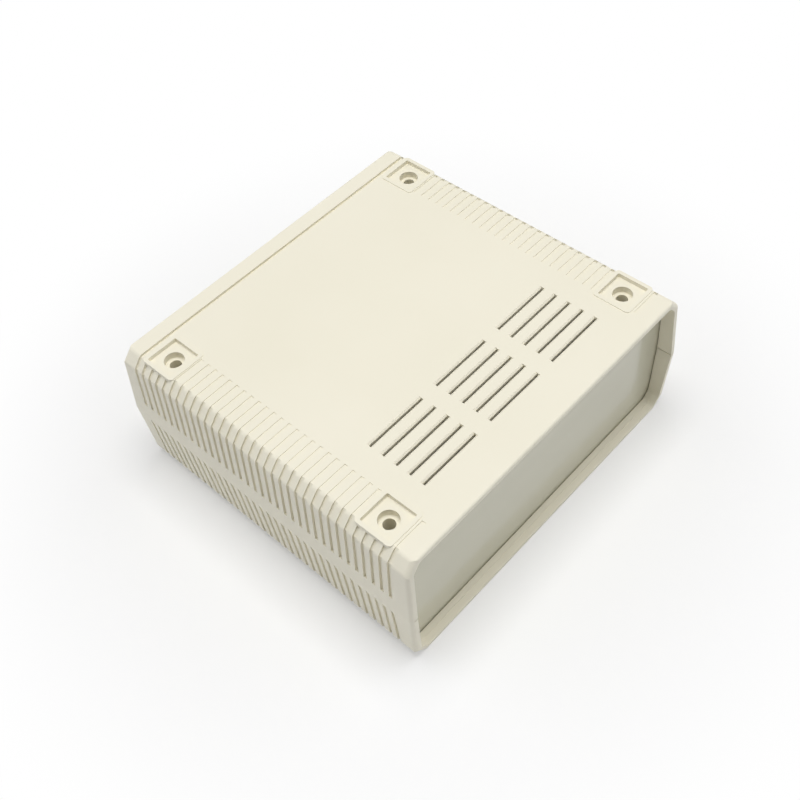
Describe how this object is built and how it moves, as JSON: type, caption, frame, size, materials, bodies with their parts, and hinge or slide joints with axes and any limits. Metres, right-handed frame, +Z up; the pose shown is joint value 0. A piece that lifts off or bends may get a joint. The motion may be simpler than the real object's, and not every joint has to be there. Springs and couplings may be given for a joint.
{
  "type": "desktop instrument enclosure",
  "caption": "Two-part moulded plastic instrument case lying on its cover, with grooved sides, base vents, square foot sockets and recessed slide-in end panels.",
  "frame": {"origin": "centre of the cover's outer face, on which the case lies as in the picture", "axes": "+Z up, from the cover towards the base face with the foot sockets; the front panel and the vents are towards -Y; the grooved sides look along -X and +X"},
  "size_m": [0.2, 0.1892, 0.0804],
  "materials": {
    "shell_abs": "cream ABS with a fine moulded texture",
    "panel_abs": "smooth grey-white ABS sheet, slight sheen",
    "screw_steel": "zinc plated"
  },
  "bodies": {
    "root": {"base_shell": "shell_abs", "cover_shell": "shell_abs", "front_panel": "panel_abs", "rear_panel": "panel_abs", "case_screws": "screw_steel"}
  },
  "joints": []
}
